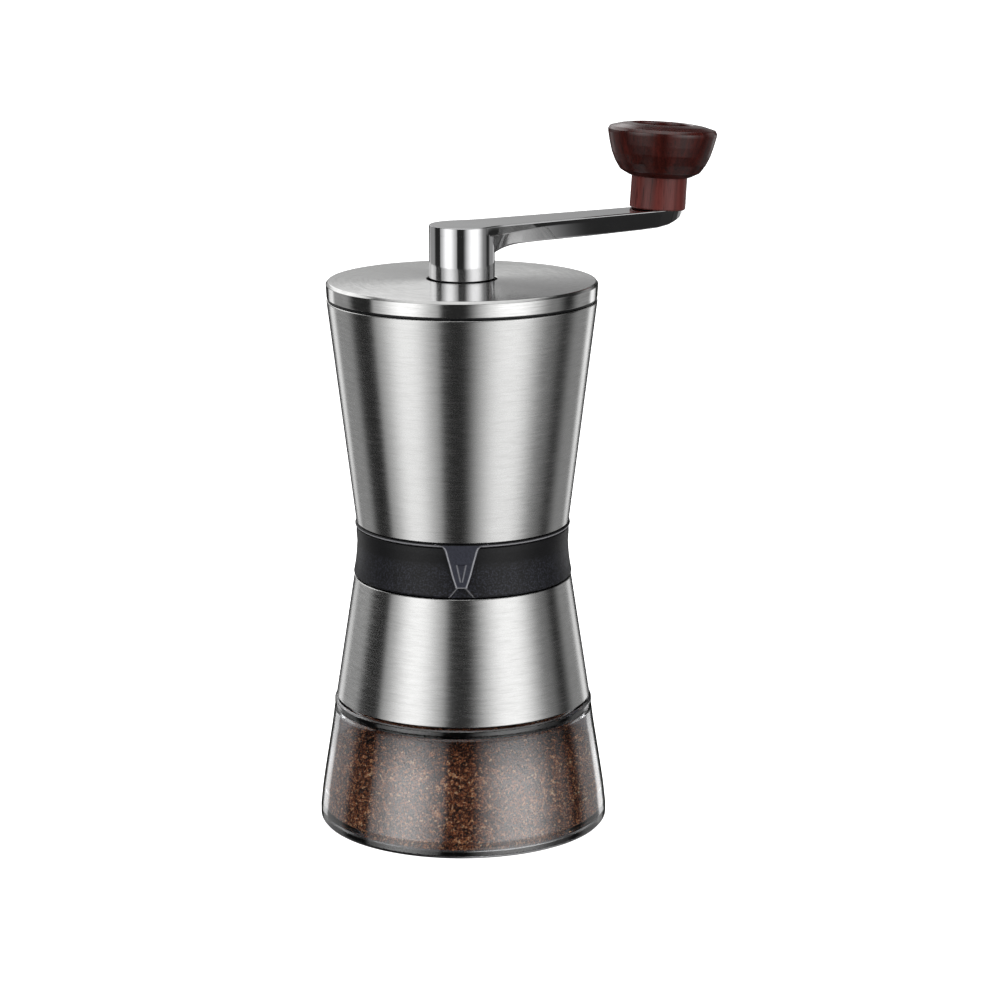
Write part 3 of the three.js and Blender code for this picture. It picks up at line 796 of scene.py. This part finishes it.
click_ring = revolve("click_ring", RING_PROFILE, turns=720, longest=0.25, sharp=50, shift=ring_shift)
vertex_value(click_ring, "edge_wear_and_highlight", index_line)
swap(click_ring, "click_ring", "grind_ring", black)


def pointer_half(z):
    for (w0, z0), (w1, z1) in zip(POINTER_OUTLINE, POINTER_OUTLINE[1:]):
        if z >= z1:
            return w1 + (w0 - w1) * (z - z1) / (z0 - z1)
    return POINTER_OUTLINE[-1][0]


def collar_radius(z):
    return 30.9 - (z - POINTER_TIP) * 0.085


def pointer_point(x, z, depth):
    """A point on the pointer's curved face, sunk by a depth."""
    r = collar_radius(z) - depth
    return (x, -math.sqrt(r * r - x * x), z)


def arrow_half(z):
    return 0.25 + (z - ARROW_LOW) * 0.21


def arrow_depth(x, z):
    """A plain arrow sunk in the pointer's face."""
    if not ARROW_LOW < z < ARROW_HIGH:
        return 0.0
    edge = min(arrow_half(z) - abs(x), z - ARROW_LOW, ARROW_HIGH - z)
    return 0.35 * max(0.0, min(1.0, edge / 0.16))


def pointer():
    """Pointer tab: a bevelled, slightly dished tab whose face curves with the waist."""
    verts, faces = [], []
    rows = [POINTER_TOP - (POINTER_TOP - POINTER_TIP) * k / 120 for k in range(121)]
    across = 44
    for z in rows:
        half = pointer_half(z)
        for i in range(across + 1):
            share = -1 + 2 * i / across
            x = share * half
            edge = half - abs(x)
            bevel = max(0.0, 1 - edge / 0.42)
            low = max(0.0, 1 - (z - POINTER_TIP) / 0.4)
            depth = 0.42 * max(bevel, low) ** 1.6 + arrow_depth(x, z)
            depth -= 0.07 * math.exp(-((edge - 0.42) / 0.16) ** 2)
            verts.append(pointer_point(x, z, depth))
    width = across + 1
    for j in range(len(rows) - 1):
        for i in range(across):
            a = j * width + i
            faces.append([a, a + 1, a + width + 1, a + width])
    front = len(verts)
    for z in rows:
        half = pointer_half(z)
        back = 28.9 if z > 83.85 else 29.9
        for i in range(width):
            x = (-1 + 2 * i / across) * half
            verts.append((x, -math.sqrt(back * back - x * x), z))
    for j in range(len(rows) - 1):
        for i in range(across):
            a = front + j * width + i
            faces.append([a, a + width, a + width + 1, a + 1])
    for j in range(len(rows) - 1):
        for i in (0, across):
            a, b = j * width + i, (j + 1) * width + i
            quad = [a, b, b + front, a + front]
            faces.append(quad if i == 0 else quad[::-1])
    for i in range(across):
        last = (len(rows) - 1) * width + i
        faces.append([i, i + front, i + front + 1, i + 1])
        faces.append([last, last + 1, last + front + 1, last + front])
    return verts, faces


def collar():
    band = revolve(
        "collar_band",
        [(27.0, 83.8, 0.1), (29.35, 83.8, 0.15), (29.62, 84.05, 0.2), (29.55, 84.6, 0.25), (27.0, 84.6, 0.1)],
        turns=256,
    )
    tab = mesh_object("collar_tab", *pointer(), sharp=50)
    joined = bmesh.new()
    joined.from_mesh(band.data)
    joined.from_mesh(tab.data)
    mesh = bpy.data.meshes.new("waist_collar_pointer")
    joined.to_mesh(mesh)
    joined.free()
    discard((band, tab))
    smooth(mesh, 50)
    return add_object("waist_collar_pointer", mesh)


def collar_wear_and_highlight(x, y, z):
    """Where the collar's lower lip and the pointer's bevelled edges are lightened: a painted highlight along
    the edges, with some wear.
    """
    if y < 0 and math.hypot(x, y) > 29.75 and abs(x) < 7.5:
        edge = pointer_half(z) - abs(x)
        side = math.exp(-(((edge - 0.36) / 0.17) ** 2))
        tip = math.exp(-(((z - 73.0) / 0.2) ** 2))
        recess = arrow_half(z) - abs(x)
        mark = 0.45 * math.exp(-((recess / 0.16) ** 2)) if ARROW_LOW < z < ARROW_HIGH else 0.0
        return min(1.0, max(side, tip * 0.8, mark))
    if z < 84.3 and math.hypot(x, y) > 29.2:
        return 0.6
    return 0.0


def collar_face(x, y, z):
    """The pointer's front face, which keeps the moulded grain."""
    front = y < 0 and math.hypot(x, y) > 29.6
    return 1.0 if front and abs(x) < pointer_half(z) and z < 84.4 else 0.0


waist_collar = collar()
vertex_value(waist_collar, "edge_wear_and_highlight", collar_wear_and_highlight)
vertex_value(waist_collar, "pointer_face", collar_face)
swap(waist_collar, "housing", "waist_collar", black)

# ---------------------------------------------------------------- hopper liner and lid


def liner():
    def outside(z):
        return cone_radius(HOPPER, z) - SHEET - 0.25

    def inside(z):
        return outside(z) - 1.3

    return revolve(
        "hopper_lining",
        [
            (19.2, 82.2, 0.2), (26.5, 82.2, 0.2), (26.5, 85.0), (outside(85.0), 85.0, 0.2),
            (outside(146.35), 146.35), (36.5, 146.35, 0.2), (36.5, 147.0, 0.25), (inside(146.0), 147.0, 0.5),
            (inside(145.5), 145.5, 0.3), (inside(93.0), 93.0, 3.0), (24.4, 86.0, 0.6), (24.4, 84.2, 0.4),
            (19.2, 84.2, 0.3),
        ],
        turns=160,
        longest=6.0,
    )


swap(liner(), "housing", "hopper_liner", liner_black)

swap(
    revolve(
        "lid_steel",
        [
            (36.0, 146.92, 0.1), (36.72, 146.92, 0.2), (36.93, 150.55, 0.3), (36.35, 151.3, 0.6),
            (30.0, 151.42, 20), (9.6, 151.72, 0.2), (9.6, 150.8, 0.1), (35.5, 150.4, 0.3), (36.0, 149.9, 0.2),
        ],
        turns=256,
        longest=2.0,
        sharp=50,
    ),
    "lid", "lid_shell", steel_lid,
)
swap(
    revolve(
        "lid_insert",
        [
            (9.2, 144.2, 0.3), (11.8, 144.2, 0.3), (11.8, 148.6, 0.4), (32.4, 148.6, 0.4), (32.4, 142.5, 0.3),
            (33.6, 142.5, 0.4), (33.6, 147.3, 0.2), (35.6, 147.3, 0.2), (35.4, 149.8, 0.4),
            (34.9, 150.1, 0.2), (9.2, 150.1, 0.2),
        ],
        turns=160,
    ),
    "lid", "lid_plug", liner_black,
)

# ---------------------------------------------------------------- crank

HUB_R = 8.9
HUB_WALL_R = 8.885  # the turned hub, just inside the arm's plate
HUB_TURNED_FROM = 152.3
PLATE_LOW = 164.0
HUB_TOP = PLATE_LOW + 0.55
PLATE_END = 4.0
ROUND_END = 2.0
TAPER_START = 9.0
ARM_EDGE = 0.34
FLANK_LEAN = 0.38


def along(points, x):
    """Straight-line value at x from a list of (x, value) stations."""
    if x <= points[0][0]:
        return points[0][1]
    for (x0, v0), (x1, v1) in zip(points, points[1:]):
        if x <= x1:
            return v0 + (v1 - v0) * (x - x0) / (x1 - x0)
    return points[-1][1]


# Along the arm, as (distance from the hub's axis, value): half its width, the height of its underside, how
# far its flanks come down and, in degrees, how far the underside slants in from them.
ARM_HALF_WIDTH = [
    (9, 7.2), (15, 6.9), (25, 6.55), (50, 5.65), (62, 5.45), (66, 5.25), (69, 4.6), (70.6, 3.4), (71.3, 1.9),
    (71.5, 0.6),
]
ARM_BOTTOM = [
    (8.6, 156.0), (9.2, 157.4), (9.9, 158.3), (10.9, 159.1), (12.2, 159.7), (13.8, 160.15), (16.0, 160.45),
    (22.0, 160.65), (40.0, 160.8), (56.0, 161.05), (62.0, 161.3), (65.5, 161.9), (67.6, 162.7), (69.4, 163.7),
    (70.7, 164.7), (71.3, 165.5), (71.5, 165.95),
]
ARM_FLANK = [(9, 2.6), (16, 2.0), (24, 1.4), (70, 1.1), (71.5, 0.3)]
ARM_SLANT = [(9, 42), (11.7, 38), (16.8, 31), (22, 27.5), (29.7, 24.5), (37.5, 22), (46, 21), (72, 21)]


def arm_half_width(x):
    """Half the width of the arm's top face: round at the hub, then a slow taper to the nose."""
    if x < ROUND_END:
        return math.sqrt(max(HUB_R**2 - x * x, 0.0))
    if x < TAPER_START:
        length = TAPER_START - ROUND_END
        t = (x - ROUND_END) / length
        start, end = math.sqrt(HUB_R**2 - ROUND_END**2), ARM_HALF_WIDTH[0][1]
        start_slope, end_slope = -ROUND_END / start, -0.05
        hermite = (2 * t**3 - 3 * t**2 + 1) * start + (3 * t**2 - 2 * t**3) * end
        return hermite + length * ((t**3 - 2 * t**2 + t) * start_slope + (t**3 - t**2) * end_slope)
    return along(ARM_HALF_WIDTH, x)


def arm_section(x):
    """Half outline of the arm at a distance from the hub, from the top middle round to the bottom middle."""
    half, top = arm_half_width(x), ARM_TOP
    low = PLATE_LOW if x < PLATE_END else along(ARM_BOTTOM, x)
    depth = top - low
    edge = min(ARM_EDGE, depth * 0.2, half * 0.4)
    flank_low = max(top - along(ARM_FLANK, x), low + depth * 0.2)
    if x < PLATE_END:
        flank_low = low + 0.3
    lean = FLANK_LEAN * min(1.0, max(0.0, (x - 3.0) / 6.0))
    inner = half - lean * (top - edge - flank_low)
    drop = flank_low - low
    keel = max(inner - drop * math.tan(math.radians(along(ARM_SLANT, x))), inner * 0.12)
    if x < PLATE_END:
        keel = inner * 0.9
    points = [(0.0, top), (half * 0.25, top), (half - edge * 1.3, top), (half - edge, top)]
    for a in (18, 36, 54, 72):
        s, c = math.sin(math.radians(a)), math.cos(math.radians(a))
        points.append((half - edge * (1 - s), top - edge * (1 - c)))
    for t in (0.0, 0.06, 0.3, 0.6, 0.92, 1.0):
        points.append((half + (inner - half) * t, top - edge + (flank_low - top + edge) * t))
    for t in (0.05, 0.15, 0.4, 0.65, 0.85, 0.95):
        points.append((inner + (keel - inner) * t, flank_low - drop * t))
    curl = min(0.3, keel * 0.4)
    points += [(keel, low + curl * 0.3), (keel - curl * 0.4, low), (keel * 0.4, low), (0.0, low)]
    return points


def arm():
    stations = [-HUB_R * math.cos(math.radians(a)) for a in range(2, 103, 3)]
    stations += [2.4, 3.0, 3.6, 4.2, 4.8, 5.6, 6.5, 7.4, 8.0] + [8.6 + 0.35 * k for k in range(24)]
    stations += [18, 20, 23, 27, 32, 38, 44, 50, 56, 60] + [62 + 0.5 * k for k in range(14)]
    stations += [69.3, 69.8, 70.3, 70.7, 71.0, 71.3, 71.45, 71.5]
    verts, faces, rows = [], [], []
    for x in stations:
        right = arm_section(x)
        loop = [(x, -w, z) for w, z in right] + [(x, w, z) for w, z in reversed(right[1:-1])]
        rows.append((len(verts), len(loop)))
        verts.extend(loop)
    for (a, count), (b, _) in zip(rows, rows[1:]):
        for i in range(count):
            j = (i + 1) % count
            faces.append([a + i, a + j, b + j, b + i])
    first, count = rows[0]
    faces.append([first + i for i in range(count)][::-1])
    last, count = rows[-1]
    faces.append([last + i for i in range(count)])
    return verts, faces


def round_wall(mesh):
    """Give the hub's upright wall the normals of a true cylinder."""
    normals = [tuple(corner.vector) for corner in mesh.corner_normals]
    for polygon in mesh.polygons:
        if abs(polygon.normal.z) > 0.2:
            continue
        for corner in polygon.loop_indices:
            x, y, z = mesh.vertices[mesh.loops[corner].vertex_index].co
            r = math.hypot(x, y)
            if HUB_WALL_R - 0.012 < r / MM < HUB_R + 0.013 and z / MM > HUB_TURNED_FROM:
                normals[corner] = (x / r, y / r, 0.0)
    mesh.normals_split_custom_set(normals)


def plug(name, radius, low, high, turns, place=None):
    """A plain cylinder to cut with."""
    outline = [(0.0, low), (radius, low), (radius, high), (0.0, high)]
    return revolve(name, outline, closed=False, turns=turns, place=place)


def crank():
    """One casting: the arm fused to the turned hub, then cut for socket, pivot and knob seat."""
    hub = revolve(
        "crank_casting",
        [
            (0.0, 142.3), (8.5, 142.3, 0.4), (8.5, 143.0), (7.6, 143.0), (7.6, 144.0), (8.5, 144.0),
            (8.5, 151.5, 0.1), (HUB_WALL_R, 152.05, 0.45), (HUB_WALL_R, HUB_TOP), (0.0, HUB_TOP),
        ],
        closed=False,
        turns=156,
        longest=3.0,
        place=crank_place,
    )
    hub.modifiers.clear()
    blade = mesh_object("crank_blade", *arm(), place=crank_place)
    bore = plug("crank_bore", 6.15, 140.0, 162.2, 63)
    pivot = plug("crank_pivot", 2.65, -9.0, 4.0, 48, knob_place)
    seat = plug("crank_seat", 8.3, -0.3, 4.0, 96, knob_place)
    for tool in (blade, bore, pivot, seat):
        modifier = hub.modifiers.new("cut", "BOOLEAN")
        modifier.operation = "UNION" if tool is blade else "DIFFERENCE"
        modifier.solver = "EXACT"
        modifier.object = tool
    mesh = bake(hub)
    discard((blade, bore, pivot, seat))
    smooth(mesh, 28)
    even_normals(hub)
    round_wall(bake(hub))
    return hub


swap(crank(), "crank", "crank_arm", chrome)

# ---------------------------------------------------------------- knob


def knob():
    return revolve(
        "knob_turned",
        [
            (5.8, -0.2), (7.4, -0.2, 0.2), (7.85, 0.1, 0.35), (7.8, 8.75), (8.9, 9.15, 0.3), (11.2, 10.35, 1.4),
            (12.75, 12.7, 3.5), (13.85, 15.2, 5), (14.6, 17.9, 6), (15.2, 20.6, 0.6), (15.27, 21.5, 0.4),
            (14.75, 22.35, 0.35), (11.8, 23.15, 6), (9.0, 23.55, 0.8), (8.3, 23.3, 0.4), (8.3, 18.3),
            (5.6, 18.3), (5.6, 15.3), (4.5, 15.3), (4.5, 1.2), (5.8, 1.2),
        ],
        turns=160,
        longest=0.9,
        sharp=42,
        place=knob_place,
    )


def knob_height(x, y, z):
    """Height above the arm, along the knob's own axis."""
    return (knob_place.inverted() @ Vector((x * MM, y * MM, z * MM))).z / MM


def knob_neck(x, y, z):
    """1 on the knob's straight neck, 0 on its bowl."""
    return 1.0 if knob_height(x, y, z) < 8.9 else 0.0


def knob_crown(x, y, z):
    """1 on the knob's polished rim and top, 0 on its satin side."""
    return min(1.0, max(0.0, (knob_height(x, y, z) - 20.9) / 0.6))


knob_turned = knob()
vertex_value(knob_turned, "neck", knob_neck)
vertex_value(knob_turned, "crown", knob_crown)
swap(knob_turned, "knob", "knob", wood)
swap(
    revolve(
        "knob_dish",
        [(0.0, 18.6), (8.0, 18.6, 0.2), (8.15, 21.5, 0.3), (6.8, 21.15, 0.5), (4.0, 20.5, 3), (0.0, 20.2)],
        closed=False,
        turns=128,
        longest=0.8,
        place=knob_place,
    ),
    "knob", "knob_plug", wood,
)

# ---------------------------------------------------------------- CAD pieces that keep their shape

SCREWS = [f"{place}_screw_{k}" for place in ("bridge", "core") for k in (1, 2, 3)]
KEPT = [
    (liner_black, ["skirt_liner", "body_core", "bearing_bridge", "burr_carrier"]),
    (bronze, ["upper_bush", "lower_bush", "knob_bush"]),
    (rubber, ["knob_washer"]),
    (ceramic, ["outer_burr", "inner_burr"]),
    (plated, ["drive_shaft", "burr_spring", "burr_washer", "lock_nut"]),
    (plated, ["drive_socket", "crank_clip", "knob_screw"] + SCREWS),
]
for material, node_names in KEPT:
    for node_name in node_names:
        data = NODES[node_name].data
        data.materials.clear()
        data.materials.append(material)

# ---------------------------------------------------------------- stage and light

FLOOR_REACH = 6
FLOOR_Z = -0.0004

floor_mesh = bpy.data.meshes.new("floor")
corners = [(-1, -1), (1, -1), (1, 1), (-1, 1)]
floor_corners = [(x * FLOOR_REACH, y * FLOOR_REACH, FLOOR_Z) for x, y in corners]
floor_mesh.from_pydata(floor_corners, [], [(0, 1, 2, 3)])
floor = add_object("floor", floor_mesh)
floor_look = Nodes("floor_paper")
floor_look.set(Base_Color=(0.96, 0.96, 0.96, 1.0), Roughness=0.9, Specular_IOR_Level=0.0)
floor_look.set(Emission_Color=(1, 1, 1, 1), Emission_Strength=0.9)
floor_mesh.materials.append(floor_look.material)
floor.visible_glossy = False
floor.visible_diffuse = False
floor.visible_transmission = False

# Studio world: soft panels round the object. Angles run from straight behind the camera (0 degrees), + to the
# right. The panels lean: they turn by PANEL_LEAN radians for each unit that they rise above PANEL_LEVEL.
# Each panel is (middle, half width of its even part, width of its soft edge, brightness, lowest, highest), in
# degrees round the object and, for the last two, as the sine of the elevation.
PANELS = [
    (-52, 29, 6, 0.58, -0.56, 0.46),
    (-51, 3, 28, 1.16, -0.56, 0.46),
    (50, 34, 16, 0.25, -0.56, 0.46),
    (42, 5, 36, 1.44, -0.56, 0.46),
    (-128, 10, 12, 0.34, -0.58, 0.40),
    (-150, 4, 6, 1.80, -0.29, -0.17),
    (126, 9, 14, 0.33, -0.58, 0.40),
    (146, 4, 6, 2.00, -0.29, -0.17),
    (-158, 22, 26, 0.52, 0.02, 0.24),
    (-150, 35.5, 4.5, 1.45, 0.22, 0.68),
    (0, 180, 10, 1.10, 0.76, 1.20),
    (100, 60, 20, 0.60, -1.20, -0.74),
]
PANEL_FADE = 0.08
STUDIO_DARK = 0.028
PANEL_LEAN = 0.19
PANEL_LEVEL = -0.45
BACKDROP = (0.060, 0.062, 0.072)

world = bpy.data.worlds.new("studio")
bpy.context.scene.world = world
world.use_nodes = True
sky = Tree(world.node_tree)

parts = sky.add("SeparateXYZ")
sky.link(sky.add("TexCoord").outputs["Generated"], parts.inputs[0])
rise = parts.outputs["Z"]
turned = sky.math("ARCTAN2", parts.outputs["X"], sky.math("MULTIPLY", parts.outputs["Y"], -1.0))
lean = sky.math("MULTIPLY", sky.math("SUBTRACT", rise, PANEL_LEVEL), PANEL_LEAN)
turned = sky.math("SUBTRACT", turned, lean)
light_sum = STUDIO_DARK
for middle, even, soft, level, low, high in PANELS:
    away = sky.math("ABSOLUTE", sky.math("SUBTRACT", turned, math.radians(middle)))
    away = sky.math("MINIMUM", away, sky.math("SUBTRACT", 2 * math.pi, away))
    panel = sky.fall(away, math.radians(even + soft), math.radians(even), level)
    above = sky.fall(rise, low - PANEL_FADE, low + PANEL_FADE)
    below = sky.fall(rise, high + PANEL_FADE, high - PANEL_FADE)
    light_sum = sky.math("ADD", light_sum, sky.math("MULTIPLY", panel, sky.math("MULTIPLY", above, below)))

# The camera sees plain white, and rays that pass through the glass see a slate backdrop.
studio = sky.add("Background")
sky.link(light_sum, studio.inputs["Strength"])
white = sky.add("Background")
white.inputs["Color"].default_value = (1, 1, 1, 1)
slate = sky.add("Background")
slate.inputs["Color"].default_value = (*BACKDROP, 1)
path = sky.add("LightPath")
straight = sky.math("LESS_THAN", path.outputs["Glossy Depth"], 0.5)
through = sky.math("MULTIPLY", path.outputs["Is Transmission Ray"], straight)
seen = sky.mix_shader(through, studio.outputs[0], slate.outputs[0])
seen = sky.mix_shader(path.outputs["Is Camera Ray"], seen, white.outputs[0])
sky.link(seen, sky.add("OutputWorld").inputs["Surface"])


def softbox(name, location, target, size, power):
    data = bpy.data.lights.new(name, "AREA")
    data.shape = "RECTANGLE"
    data.size, data.size_y = size
    data.energy = power
    light = add_object(name, data)
    light.location = location
    direction = Vector(target) - Vector(location)
    light.rotation_euler = direction.to_track_quat("-Z", "Y").to_euler()
    light.visible_glossy = False
    light.visible_transmission = False


softbox("top_light", (0.1, -0.2, 1.6), (0, 0, 0.05), (1.6, 1.6), 10.0)
softbox("left_light", (-1.1, -0.9, 0.7), (0, 0, 0.08), (0.8, 1.0), 8.0)
softbox("right_light", (1.1, -0.9, 0.7), (0, 0, 0.08), (0.8, 1.0), 8.0)
